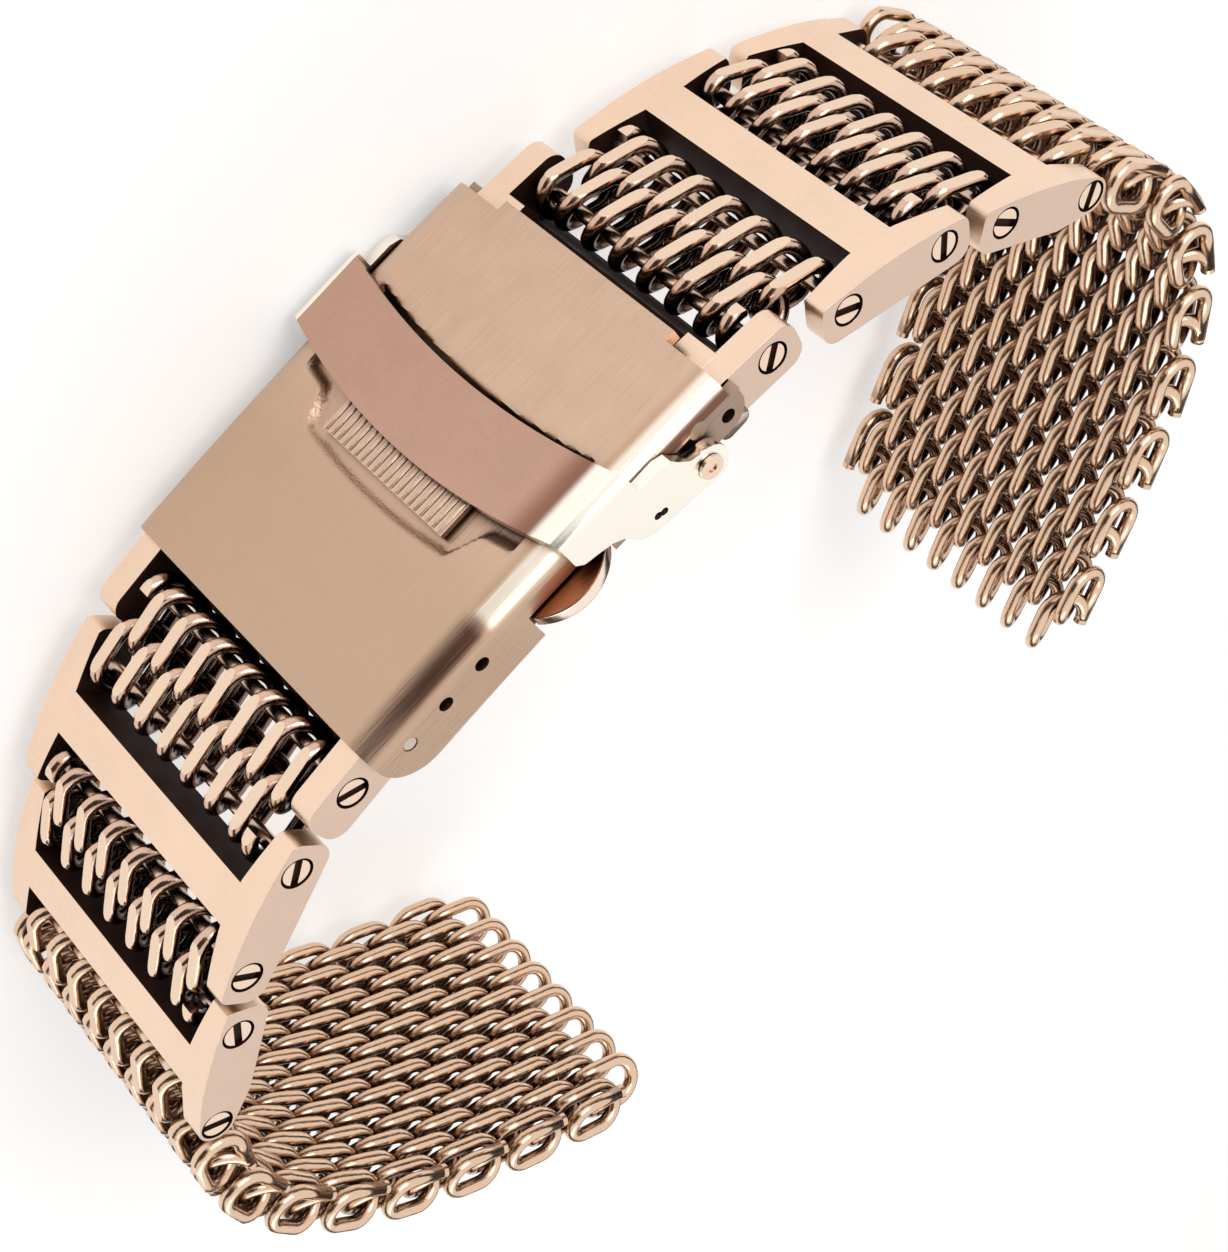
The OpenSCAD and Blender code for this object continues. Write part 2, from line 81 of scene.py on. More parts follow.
# The outer side of the mesh is ground flat at this height over a row's middle
GROUND_Y = LOOP_H + WIRE_D / 2 - 0.26
MESH_PAIRS = 8
FIRST_ROW_PITCH = 2.85
# A window's two rows lie at this share of its span from its middle, less an inset
ROW_SHARE = 0.3
ROW_INSET = 0.155

# Links
LINK_W = 22
RAIL_W = 1.77
ROD_SPAN = 7
ROD_D = 0.9
HEAD_D = 1.7
HEAD_TOP = LINK_W / 2 - 0.06
HEAD_SLOT_DEPTH = 0.24
HEAD_SLOT_HALF_W = 0.24
# How the slots of a link's two heads and of an end link's head are turned, in degrees
LINK_SLOT_TURNS = (-15, 85)
END_SLOT_TURN = 35
COUNTERBORE_D = 2.02
COUNTERBORE_DEPTH = 0.45
BAR_W = 2.86
WIDE_RAIL = 2.1
NARROW_RAIL = 1.45
RAIL_TOP = 1.49
RAIL_BOTTOM = 1.75
RAIL_OVER = 1.85
RAIL_CORNER = 1.1
RAIL_END_R = 1.2
RAIL_TAPER = 2.2
LINK_ARCH_R = 30
# Bars, rods and necks end this far inside a rail
OVERLAP = 0.4
END_LINK_L = 4
END_RAIL_X = {"upper": 0.2, "lower": 0.8}
END_RAIL_OVER = {"upper": 1.85, "lower": 2.9}
# The upper end link's rails are turned about its rod, up towards the cover
END_RAIL_TURN = {"upper": -19, "lower": 0}
# Webs fill the corners between them and the cover. Their inner ends differ at the two sides.
WEB_X = (0.4, 2.5)
WEB_FOOT = 0.5
WEB_TOP = (2.85, 2.13)
WEB_Z = {-1: 7.7, 1: 7}
# Behind each end link's bar a low lip closes the gap, and its necks reach to the spring bar's lug
LIP_X = {"upper": 2.6, "lower": 3.0}
LIP_H = 0.4
NECK_Z = 10.25
NECK_HALF_H = 0.95
LUG_R = 1.05
ROD_OFFSET = LOOP_L / 2 - WIRE_D - ROD_D / 2 - 0.08

# Clasp
CLASP_R = 250
COVER_X = (-14.1, 13.4)
COVER_HALF_W = 11.9
COVER_H = 4.4
COVER_T = 0.8
EDGE_STEPS = 16
TOP_STEPS = 96
# The long edges are rolled: an ellipse, this far across and this deep
COVER_EDGE = (2.0, 1.3)
WALL_CORNER_R = (2.8, 1.6)
BUTTON_HALF_L = 2.8
BUTTON_TOP = -2.5
BUTTON_GAP = 0.12
# The cover ends in a tongue between two shoulders, and beyond the flap its walls are set in
TONGUE_HALF_W = 7.5
SHOULDER_L = 0.7
SHOULDER_DEPTH = 2
WALL_STEP_X = 1.6
WALL_STEP_Y = 1.75
WALL_INSET = 0.4
COVER_PIN = (10.3, -2.05)
FLAP_PIVOT = (9.46, -3.75)
# A row of holes for adjusting the length, and a plain hole at the other end
ADJUST_X = (-11.9, -9.1, -6.3)
TOOL_HOLE = (12.1, -3.6)
SMALL_HOLE_D = 0.9
PIN_HOLE_D = 1.2
CUTTER_Z = 13
# The centres and radii of the flap's two edges
FLAP_EDGE_ARCS = ((43.95, 45), (56.15, 52))
# The cover is pressed in below the flap and the thumb grip
DENT_DEPTH = 0.5
GRIP_HALF_W = 6.3
GRIP_REACH = 2.1

# The path of each half, as in the solids: the point of the spring bar, the spans of the windows,
# the downward slopes in degrees, and the bends from row to row of the free mesh
SIDE = {"upper": 1, "lower": -1}
ROW_PITCH = {"upper": 2.75, "lower": 2.55}
BAR_AT = {"upper": Vector((12.11, -4.6)), "lower": Vector((-11.9, -2.2332))}
WINDOW_SPANS = {"upper": (5.36, 4.75), "lower": (5.35, 4.35)}
SLOPES = {"upper": (-13.3, 23.4, 21.3, 36.6, 39.8, 41.8), "lower": (6, 13.6, 26.6, 45, 41, 55.6)}
FIRST_BEND = {"upper": 13.8, "lower": 10.3}
LAST_BEND = {"upper": -1.2, "lower": -0.1}


def row_slope(half, n):
    rise = LAST_BEND[half] - FIRST_BEND[half]
    return SLOPES[half][5] + n * FIRST_BEND[half] + rise * n * (n - 1) / 2 / (2 * MESH_PAIRS - 1)


def ahead(half, slope, distance):
    angle = math.radians(slope)
    return Vector((SIDE[half] * distance * math.cos(angle), -distance * math.sin(angle)))


def end_rod_at(half):
    return BAR_AT[half] + ahead(half, SLOPES[half][0], END_LINK_L)


def link_rod_at(half, i):
    start = end_rod_at(half) + ahead(half, SLOPES[half][1], WINDOW_SPANS[half][0])
    if i == 1:
        return start
    over_link = ahead(half, SLOPES[half][2], ROD_SPAN)
    return start + over_link + ahead(half, SLOPES[half][3], WINDOW_SPANS[half][1])


def link_at(half, i):
    return link_rod_at(half, i) + ahead(half, SLOPES[half][2 * i], ROD_SPAN / 2)


def window_at(half, i):
    span = WINDOW_SPANS[half][i - 1] / 2
    if i == 1:
        return end_rod_at(half) + ahead(half, SLOPES[half][1], span)
    over_link = ahead(half, SLOPES[half][2], ROD_SPAN)
    return link_rod_at(half, 1) + over_link + ahead(half, SLOPES[half][3], span)


def free_row_at(half):
    last_rod = link_rod_at(half, 2) + ahead(half, SLOPES[half][4], ROD_SPAN)
    return last_rod + ahead(half, SLOPES[half][5], ROD_OFFSET)


def pair_hinge_at(half, i):
    pitch = ROW_PITCH[half]
    at = free_row_at(half) + ahead(half, SLOPES[half][5], FIRST_ROW_PITCH - pitch / 2)
    for k in range(1, i):
        at += ahead(half, row_slope(half, 2 * k - 1), pitch)
        at += ahead(half, row_slope(half, 2 * k), pitch)
    return at


def along(half, at, slope):
    """The matrix of a frame with x away from the clasp, at a point of a half."""
    place = Matrix.Translation((ORIGIN + Vector((at.x, at.y, 0))) * MM)
    turn = Matrix.Rotation(0 if half == "upper" else math.pi, 4, "Y")
    return place @ turn @ Matrix.Rotation(math.radians(-slope), 4, "Z")


def clasp_frame():
    return Matrix.Translation(ORIGIN * MM)


def shifted(x, y=0, z=0):
    return Matrix.Translation(Vector((x, y, z)) * MM)


# Materials

# Painted shade: narrow gaps between wires and links are painted nearly black, found by ambient
# occlusion
CAVITY_REACH = 2.5
CAVITY_SHADE = (0.02, 0.008, 0.006, 1)
EVEN_GRAIN = (1, 1, 1)
BROAD_SCALE = 350
BROAD_SHARE = 0.45
# Both the colour and the roughness vary where the noise is between these values
NOISE_RANGE = (0.3, 0.7)
OPEN_RANGE = (0.2, 0.8)


def steel(name, colour, roughness, grain=EVEN_GRAIN, grain_size=0.06, depth=0.15, tint=0.06, cavity=0.9,
          gap=CAVITY_SHADE, reach=CAVITY_REACH):
    """Satin or polished steel, with painted shade that darkens it in narrow gaps.

    Grain is stretched along the axis with the smallest factor, and its size is in millimetres. The
    colour varies by tint, and cavity says how far the narrow gaps take on gap, the colour of their
    painted shade.
    """
    material = bpy.data.materials.new(name)
    material.use_nodes = True
    nodes = material.node_tree.nodes
    links = material.node_tree.links
    shader = nodes["Principled BSDF"]
    shader.inputs["Metallic"].default_value = 1
    place = nodes.new("ShaderNodeTexCoord")
    stretch = nodes.new("ShaderNodeMapping")
    stretch.inputs["Scale"].default_value = grain
    links.new(place.outputs["Object"], stretch.inputs["Vector"])
    fine = nodes.new("ShaderNodeTexNoise")
    fine.inputs["Scale"].default_value = 1 / (grain_size * MM)
    fine.inputs["Detail"].default_value = 4
    links.new(stretch.outputs["Vector"], fine.inputs["Vector"])
    broad = nodes.new("ShaderNodeTexNoise")
    broad.inputs["Scale"].default_value = BROAD_SCALE
    broad.inputs["Detail"].default_value = 3
    links.new(place.outputs["Object"], broad.inputs["Vector"])
    shades = nodes.new("ShaderNodeValToRGB")
    for element, position, factor in zip(shades.color_ramp.elements, NOISE_RANGE, (1 - tint, 1 + tint)):
        element.position = position
        element.color = [min(c * factor, 1) for c in colour] + [1]
    mixed = nodes.new("ShaderNodeMix")
    mixed.inputs["Factor"].default_value = BROAD_SHARE
    links.new(fine.outputs["Fac"], mixed.inputs["A"])
    links.new(broad.outputs["Fac"], mixed.inputs["B"])
    links.new(mixed.outputs["Result"], shades.inputs["Fac"])
    # Painted shade: ambient occlusion mixes the gap's colour into narrow gaps
    gaps = nodes.new("ShaderNodeAmbientOcclusion")
    gaps.inputs["Distance"].default_value = reach * MM
    gaps.samples = 8
    openness = nodes.new("ShaderNodeMapRange")
    openness.interpolation_type = "SMOOTHSTEP"
    openness.inputs["From Min"].default_value = OPEN_RANGE[0]
    openness.inputs["From Max"].default_value = OPEN_RANGE[1]
    openness.inputs["To Min"].default_value = 1 - cavity
    links.new(gaps.outputs["AO"], openness.inputs["Value"])
    shaded = nodes.new("ShaderNodeMix")
    shaded.data_type = "RGBA"
    shaded.inputs["A"].default_value = gap
    links.new(openness.outputs["Result"], shaded.inputs["Factor"])
    links.new(shades.outputs["Color"], shaded.inputs["B"])
    links.new(shaded.outputs["Result"], shader.inputs["Base Color"])
    rough = nodes.new("ShaderNodeMapRange")
    rough.inputs["From Min"].default_value = NOISE_RANGE[0]
    rough.inputs["From Max"].default_value = NOISE_RANGE[1]
    rough.inputs["To Min"].default_value = roughness * 0.8
    rough.inputs["To Max"].default_value = roughness * 1.2
    links.new(mixed.outputs["Result"], rough.inputs["Value"])
    links.new(rough.outputs["Result"], shader.inputs["Roughness"])
    bump = nodes.new("ShaderNodeBump")
    bump.inputs["Strength"].default_value = depth
    bump.inputs["Distance"].default_value = grain_size * MM
    links.new(fine.outputs["Fac"], bump.inputs["Height"])
    links.new(bump.outputs["Normal"], shader.inputs["Normal"])
    return material


# Painted shade in the gaps of the free mesh and of the cover is brown
FREE_GAP_SHADE = (0.08, 0.033, 0.018, 1)
COVER_GAP_SHADE = (0.13, 0.055, 0.03, 1)
# Grain along a wire, along a row's ground flats, along a link or the clasp, and across the band
WIRE_GRAIN = (0.3, 1, 1)
GROUND_GRAIN = (0.1, 1, 1)
LINK_GRAIN = (0.06, 1, 1)
CLASP_GRAIN = (0.03, 1, 1)
FLAP_GRAIN = (1, 1, 0.04)
PIN_GRAIN = (1, 1, 0.1)

# Painted shade: the window rows' wire is a darker copy of the free mesh's wire, and its gaps go fully
# to near black over 6 mm
SHADED_WINDOW_WIRE = steel("window_wire_shaded_steel", (0.7, 0.47, 0.35), 0.16, WIRE_GRAIN, grain_size=0.12,
                    depth=0.08, cavity=1, reach=6)
FREE_WIRE = steel("free_wire_steel", (0.78, 0.545, 0.385), 0.2, WIRE_GRAIN, grain_size=0.12, depth=0.08,
                  cavity=0.85, gap=FREE_GAP_SHADE)
GROUND = steel("ground_steel", (0.86, 0.66, 0.5), 0.36, GROUND_GRAIN, grain_size=0.05, depth=0.2,
               cavity=0.6)
FREE_GROUND = steel("free_ground_steel", (0.8, 0.57, 0.4), 0.36, GROUND_GRAIN, grain_size=0.05,
                    depth=0.2, cavity=0.6)
LINK_SATIN = steel("link_steel", (0.88, 0.66, 0.5), 0.3, LINK_GRAIN, grain_size=0.05, depth=0.25,
                   cavity=0.4)
# The links' outer sides: a smoother steel, painted darker than the tops as shade
SHADED_LINK_SIDE = steel("link_side_shaded_steel", (0.72, 0.53, 0.42), 0.22, LINK_GRAIN, grain_size=0.05, tint=0.05,
                  cavity=0.5)
# Painted shade: a near-black, dull steel for recesses, counterbores, screw slots and the faces inside
# the windows
RECESS_SHADE = steel("recess_shade", (0.026, 0.009, 0.005), 0.5, grain_size=0.1, depth=0.2, tint=0.15)
COVER_SATIN = steel("cover_steel", (0.63, 0.445, 0.325), 0.34, CLASP_GRAIN, grain_size=0.12, depth=0.3,
                    tint=0.1, gap=COVER_GAP_SHADE)
# Painted shade: the walls beyond the flap are a darker copy of the cover's steel
SHADED_WALL_SATIN = steel("wall_shaded_steel", (0.42, 0.3, 0.225), 0.35, CLASP_GRAIN, grain_size=0.12, depth=0.3,
                   tint=0.1)
FLAP_SATIN = steel("flap_steel", (0.52, 0.32, 0.24), 0.28, FLAP_GRAIN, grain_size=0.05, depth=0.25)
# The flap's polished arms, near white as a painted highlight
FLAP_POLISH_HIGHLIGHT = steel("flap_polished_highlight_steel", (1, 0.93, 0.82), 0.2, FLAP_GRAIN, grain_size=0.05,
                    depth=0.08, tint=0.02, cavity=0.5)
GRIP_STEEL = steel("grip_steel", (0.7, 0.5, 0.38), 0.25, GROUND_GRAIN, grain_size=0.08, depth=0.2)
BLADE_SATIN = steel("blade_steel", (0.6, 0.47, 0.38), 0.35, CLASP_GRAIN, grain_size=0.05, depth=0.3)
# Painted reflection and highlight: the button's flat face dark red, its rim near white
BUTTON_DARK_REFLECTION = steel("button_dark_reflection_steel", (0.36, 0.13, 0.06), 0.3, GROUND_GRAIN, depth=0.2)
BUTTON_RIM_HIGHLIGHT = steel("button_rim_highlight_steel", (0.95, 0.8, 0.68), 0.15, GROUND_GRAIN, depth=0.08, tint=0.03)
PIN_STEEL = steel("pin_steel", (0.62, 0.52, 0.44), 0.25, PIN_GRAIN, grain_size=0.08)
ROD_STEEL = steel("rod_steel", (0.9, 0.68, 0.53), 0.2, PIN_GRAIN, grain_size=0.1, depth=0.1, cavity=0.5)


def make_dull(material):
    """Turns a steel into a dull surface without metal shine, so that its near-black colour shows as
    painted shade.
    """
    inputs = material.node_tree.nodes["Principled BSDF"].inputs
    inputs["Metallic"].default_value = 0
    inputs["Specular IOR Level"].default_value = 0.1


make_dull(RECESS_SHADE)


def step_between(nodes, links, socket, low, high):
    """A smooth step of a coordinate, from 0 at low to 1 at high, and downwards where low > high."""
    step = nodes.new("ShaderNodeMapRange")
    step.interpolation_type = "SMOOTHSTEP"
    step.inputs["From Min"].default_value = min(low, high) * MM
    step.inputs["From Max"].default_value = max(low, high) * MM
    step.inputs["To Min"].default_value = 0 if low < high else 1
    step.inputs["To Max"].default_value = 1 if low < high else 0
    links.new(socket, step.inputs["Value"])
    return step.outputs["Result"]


def paint_light_and_shade(material, middle_z, colour, strength, steps):
    """Paints light and shade: mixes a colour into the base colour where all the steps, each (axis, low,
    high), are on.

    The z of a step is measured from the piece's middle plane towards the side that faces up front.
    """
    nodes = material.node_tree.nodes
    links = material.node_tree.links
    base = nodes["Principled BSDF"].inputs["Base Color"]
    place = nodes.new("ShaderNodeTexCoord")
    split = nodes.new("ShaderNodeSeparateXYZ")
    links.new(place.outputs["Object"], split.inputs["Vector"])
    from_middle = nodes.new("ShaderNodeMath")
    from_middle.operation = "SUBTRACT"
    from_middle.inputs[1].default_value = middle_z * MM
    links.new(split.outputs["Z"], from_middle.inputs[0])
    axes = {"x": split.outputs["X"], "y": split.outputs["Y"], "z": from_middle.outputs["Value"]}
    share = None
    for axis, low, high in steps:
        step = step_between(nodes, links, axes[axis], low, high)
        product = nodes.new("ShaderNodeMath")
        product.operation = "MULTIPLY"
        links.new(step, product.inputs[0])
        if share is None:
            product.inputs[1].default_value = strength
        else:
            links.new(share, product.inputs[1])
        share = product.outputs["Value"]
    mix = nodes.new("ShaderNodeMix")
    mix.data_type = "RGBA"
    links.new(share, mix.inputs["Factor"])
    links.new(base.links[0].from_socket, mix.inputs["A"])
    mix.inputs["B"].default_value = colour
    links.new(mix.outputs["Result"], base)


# Where the painted dark band ends across the cover's edge, and where the painted highlight starts
# beside the flap
EDGE_FADE = ("z", 11.86, 11.5)
HIGHLIGHT_START = ("x", -4.9, -4.2)
# Painted shade and painted highlights mixed into the cover's and the flap's colours
PAINTED_LIGHT_AND_SHADE = (
    # Painted shade: below the flap the cover is darker
    (COVER_SATIN, 0, (0.51, 0.345, 0.235, 1), 0.6, (("x", 1, -6),)),
    # There its near edge has a soft band of painted dark reflection, which fades towards the end
    (COVER_SATIN, 0, (0.07, 0.022, 0.014, 1), 0.9,
     (("z", 9.9, 11.2), EDGE_FADE, ("x", -4.3, -5.6), ("x", -19, -8))),
    # Above the walls that are set in, the fold is painted dark red as shade
    (COVER_SATIN, 0, (0.16, 0.06, 0.035, 1), 0.9, (("z", 11.3, 11.75), ("y", -2.6, -1.9), ("x", 1, 2))),
    # The rest of the near edge has a painted highlight, with a golden start
    (COVER_SATIN, 0, (0.5, 0.29, 0.15, 1), 0.4,
     (("z", 10, 10.5), ("z", 11, 10.6), ("x", -4.6, -3.6))),
    (COVER_SATIN, 0, (1, 0.88, 0.74, 1), 1,
     (("z", 10.5, 10.95), ("z", 11.86, 11.6), HIGHLIGHT_START, ("x", 13.3, 12.7))),
    # The flap has painted shade towards its near bend, and a painted highlight from there on
    (FLAP_SATIN, ORIGIN.z, (0.2, 0.075, 0.045, 1), 0.75, (("z", 8.4, 10.3),)),
    (FLAP_SATIN, ORIGIN.z, (1, 0.93, 0.82, 1), 1, (("z", 10.4, 11),)),
)
for material, middle_z, colour, strength, steps in PAINTED_LIGHT_AND_SHADE:
    paint_light_and_shade(material, middle_z, colour, strength, steps)


# Geometry


def piece(name, data, matrix, body, materials, slot, *nodes):
    """Links a mesh as an object that rides on a body and stands for the given solids."""
    part = bpy.data.objects.new(name, data)
    bpy.context.scene.collection.objects.link(part)
    part.matrix_world = matrix
    if not data.materials:
        for material in materials:
            data.materials.append(material)
    bpy.context.view_layer.update()
    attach(part, body)
    if nodes:
        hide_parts(*nodes)
    return part


def to_mesh(name, bm):
    bmesh.ops.recalc_face_normals(bm, faces=bm.faces)
    bmesh.ops.scale(bm, vec=(MM, MM, MM), verts=bm.verts)
    data = bpy.data.meshes.new(name)
    bm.to_mesh(data)
    bm.free()
    return data


def painted(data, choose, offset=Vector()):
    """Gives each face the material slot chosen for its middle, in millimetres, and its normal."""
    for face in data.polygons:
        face.material_index = choose(face.center / MM - offset, face.normal)
    return data


def tube(bm, path, radius, closed=False, sides=WIRE_SIDES):
    """Adds a round tube along a path of points, with rings that don't twist."""
    count = len(path)
    rings = []
    normal = None
    for k, point in enumerate(path):
        before = path[k - 1] if k or closed else point
        after = path[(k + 1) % count] if k < count - 1 or closed else point
        tangent = (after - before).normalized()
        if normal is None:
            normal = tangent.orthogonal()
        normal = (normal - tangent * normal.dot(tangent)).normalized()
        other = tangent.cross(normal)
        ring = []
        for j in range(sides):
            angle = 2 * math.pi * j / sides
            outwards = math.cos(angle) * normal + math.sin(angle) * other
            ring.append(bm.verts.new(point + radius * outwards))
        rings.append(ring)
    offset = 0
    if closed:
        offset = min(range(sides), key=lambda j: (rings[0][j].co - rings[-1][0].co).length)
    for k in range(count if closed else count - 1):
        first = rings[k]
        second = rings[(k + 1) % count]
        turn = offset if closed and k == count - 1 else 0
        for j in range(sides):
            ahead_pair = (second[(j + 1 + turn) % sides], second[(j + turn) % sides])
            bm.faces.new((first[j], first[(j + 1) % sides]) + ahead_pair).smooth = True
    if not closed:
        bm.faces.new(rings[0])
        bm.faces.new(rings[-1])


def grind(bm, matrix):
    """Cuts the wires flat at the ground height of the row with this matrix, in millimetres."""
    normal = matrix.to_3x3() @ Vector((0, 1, 0))
    point = matrix @ Vector((0, GROUND_Y, 0))
    geometry = bm.verts[:] + bm.edges[:] + bm.faces[:]
    cut = bmesh.ops.bisect_plane(bm, geom=geometry, plane_co=point, plane_no=normal, clear_outer=True)
    edges = [e for e in cut["geom_cut"] if isinstance(e, bmesh.types.BMEdge)]
    filled = bmesh.ops.edgeloop_fill(bm, edges=edges)
    for face in filled["faces"]:
        face.smooth = False
        face.material_index = 1
        for edge in face.edges:
            edge.smooth = False


def bend_path(x, z, start, end, steps=BEND_STEPS, side=1):
    """Points of a tilted half ring, from a top wire at z on the front, or from below at the rear."""
    points = []
    for k in range(steps + 1):
        angle = start + (end - start) * k / steps
        flat = BEND_R * math.sin(angle)
        points.append(Vector((
            side * (x + BEND_R * math.cos(angle)),
            flat * math.cos(BEND_TILT),
            z + COIL_PITCH / 4 - side * flat * math.sin(BEND_TILT))))
    return points


def spiral_path(loops, start_x, end_x):
    """A flattened spiral: from a top wire at z = 0 to a bottom wire, its ends at start_x and end_x."""
    quarter = math.pi / 2
    path = [Vector((start_x, LOOP_H, 0))]
    for k in range(loops):
        z = k * COIL_PITCH
        path += bend_path(LOOP_RUN / 2, z, quarter, -quarter)
        if k < loops - 1:
            path += bend_path(LOOP_RUN / 2, z + COIL_PITCH / 2, -quarter, quarter, side=-1)
    path.append(Vector((end_x, -LOOP_H, (loops - 0.5) * COIL_PITCH)))
    return path


def hook_path(x, z, upwards):
    """A round hook at the rear, from the bottom wire up to the top wire or back."""
    points = []
    for k in range(BEND_STEPS + 1):
        angle = -math.pi / 2 - math.pi * k / BEND_STEPS
        points.append(Vector((x + LOOP_H * math.cos(angle), LOOP_H * math.sin(angle), z)))
    return points if upwards else points[::-1]


def row_width(loops):
    return (loops - 0.5) * COIL_PITCH


def moved(path, matrix):
    return [matrix @ p for p in path]


def window_row_mesh():
    """A row of a window, closed by a hook at both edges. Its front row runs along +z."""
    bm = bmesh.new()
    width = row_width(LINK_LOOPS)
    path = hook_path(HOOK_X, 0, True)[:-1] + spiral_path(LINK_LOOPS, HOOK_X, HOOK_X)
    path += hook_path(HOOK_X, width, True)[1:]
    tube(bm, moved(path, Matrix.Translation((0, 0, -width / 2))), WIRE_D / 2)
    grind(bm, Matrix.Identity(4))
    return to_mesh("window_row", bm)


def free_row_mesh():
    bm = bmesh.new()
    width = row_width(LINK_LOOPS)
    path = spiral_path(LINK_LOOPS, -LOOP_RUN / 2, -LOOP_RUN / 2)
    tube(bm, moved(path, Matrix.Translation((0, 0, -width / 2))), WIRE_D / 2)
    grind(bm, Matrix.Identity(4))
    return to_mesh("free_row", bm)


def pair_mesh(name, pitch, bend):
    """Two rows of one wire, closed at both edges, the second turned down by the bend."""
    bm = bmesh.new()
    width = row_width(FREE_LOOPS)
    centre = Matrix.Translation((0, 0, -width / 2))
    first = Matrix.Translation((pitch / 2, 0, 0))
    turn = Matrix.Rotation(-bend, 4, "Z")
    second = Matrix.Translation((pitch, 0, 0)) @ turn @ Matrix.Translation((pitch / 2, 0, 0))
    rear_to_rear = second @ Matrix.Rotation(math.pi, 4, "Y") @ centre
    path = hook_path(PAIR_HOOK_X, 0, True)[:-1] + spiral_path(FREE_LOOPS, PAIR_HOOK_X, PAIR_HOOK_X)
    path += hook_path(PAIR_HOOK_X, width, True)[1:]
    front = moved(path, first @ centre)
    back = moved(spiral_path(FREE_LOOPS, LOOP_RUN / 2, LOOP_RUN / 2), rear_to_rear)
    tube(bm, front + back, WIRE_D / 2, closed=True)
    stub = Vector((STUB_X, LOOP_H, 0))
    for height, z in ((LOOP_H, 0), (-LOOP_H, width)):
        ends = [Vector((x, height, z)) for x in (LOOP_RUN / 2 + 0.1, stub.x)]
        tube(bm, moved(ends, rear_to_rear), WIRE_D / 2 - 0.01)
    grind(bm, first)
    grind(bm, second)
    return to_mesh(name, bm)


def arc(cx, cy, radius, a0, a1, steps=8):
    """Points of an arc in the x-y plane, angles in degrees."""
    angles = [math.radians(a0 + (a1 - a0) * k / steps) for k in range(steps + 1)]
    return [(cx + radius * math.cos(a), cy + radius * math.sin(a)) for a in angles]


def arched(outline):
    """Lowers an outline onto the arch of a link's top."""
    lowered = []
    for x, y in outline:
        lowered.append((x, min(y, RAIL_TOP - LINK_ARCH_R + math.sqrt(LINK_ARCH_R ** 2 - x * x))))
    return lowered


def split_long(outline, step=0.5):
    """Adds points to an outline's long edges, so that they can follow the arch."""
    result = []
    for k, (x0, y0) in enumerate(outline):
        x1, y1 = outline[(k + 1) % len(outline)]
        parts = max(1, math.ceil(math.hypot(x1 - x0, y1 - y0) / step))
        result += [(x0 + (x1 - x0) * j / parts, y0 + (y1 - y0) * j / parts) for j in range(parts)]
    return result


def rail_outline(x0, x1, r=RAIL_CORNER):
    """The side view of a rail with four round corners."""
    y0, y1 = -RAIL_BOTTOM, RAIL_TOP
    points = arc(x1 - r, y1 - r, r, 90, 0) + arc(x1 - r, y0 + r, r, 0, -90)
    return points + arc(x0 + r, y0 + r, r, -90, -180) + arc(x0 + r, y1 - r, r, 180, 90)


def tapered_outline():
    """The side view of the second link's rail, which narrows to a round end about its outer rod."""
    x = ROD_SPAN / 2
    points = [(x - RAIL_TAPER, RAIL_TOP)] + arc(x, 0, RAIL_END_R, 70, -70, 12)
    points.append((x - RAIL_TAPER, -RAIL_BOTTOM))
    x0 = -x - RAIL_OVER
    return points + arc(x0 + 1, -RAIL_BOTTOM + 1, 1, -90, -180) + arc(x0 + 1, RAIL_TOP - 1, 1, 180, 90)


def add_loop(bm, points, z):
    verts = [bm.verts.new((x, y, z)) for x, y in points]
    edges = [bm.edges.new((verts[k], verts[(k + 1) % len(verts)])) for k in range(len(verts))]
    return verts, edges


def join_loops(bm, low, high, smooth=True):
    for k in range(len(low)):
        n = (k + 1) % len(low)
        bm.faces.new((low[k], low[n], high[n], high[k])).smooth = smooth


def slab(bm, outline, z0, z1, holes=(), hole_d=0, hole_depth=0):
    """A plate with an outline in x-y between two heights, with blind round holes in its face at z1."""
    low, low_edges = add_loop(bm, outline, z0)
    high, high_edges = add_loop(bm, outline, z1)
    join_loops(bm, low, high)
    bmesh.ops.triangle_fill(bm, use_beauty=True, edges=low_edges)
    rims = list(high_edges)
    floor = z1 - math.copysign(hole_depth, z1 - z0)
    for x, y in holes:
        circle = arc(x, y, hole_d / 2, 0, 360, 28)[:-1]
        rim, rim_edges = add_loop(bm, circle, z1)
        deep, deep_edges = add_loop(bm, circle, floor)
        join_loops(bm, deep, rim)
        bm.faces.new(deep)
        rims += rim_edges
    bmesh.ops.triangle_fill(bm, use_beauty=True, edges=rims)


def bevelled(part, width, segments=3, angle=40):
    """Rounds a piece's edges and keeps its flat faces flat."""
    modifier = part.modifiers.new("rounding", "BEVEL")
    modifier.width = width * MM
    modifier.segments = segments
    modifier.limit_method = "ANGLE"
    modifier.angle_limit = math.radians(angle)
    modifier.harden_normals = True
    modifier.use_clamp_overlap = True
    modifier.profile = 0.6
    return part


def rails(bm, outline, holes, width_at):
    """Two rails whose width depends on the distance along them."""
    for sign in (-1, 1):
        before = set(bm.verts)
        inner = sign * (LINK_W / 2 - RAIL_W)
        slab(bm, outline, inner, sign * LINK_W / 2, holes, COUNTERBORE_D, COUNTERBORE_DEPTH)
        for vert in set(bm.verts) - before:
            if abs(vert.co.z) < LINK_W / 2 - 1:
                vert.co.z = sign * (LINK_W / 2 - width_at(vert.co.x))


def turned(outline, x, degrees):
    """An outline turned about a rod at this x."""
    c, s = math.cos(math.radians(degrees)), math.sin(math.radians(degrees))
    return [(x + c * (px - x) - s * py, s * (px - x) + c * py) for px, py in outline]


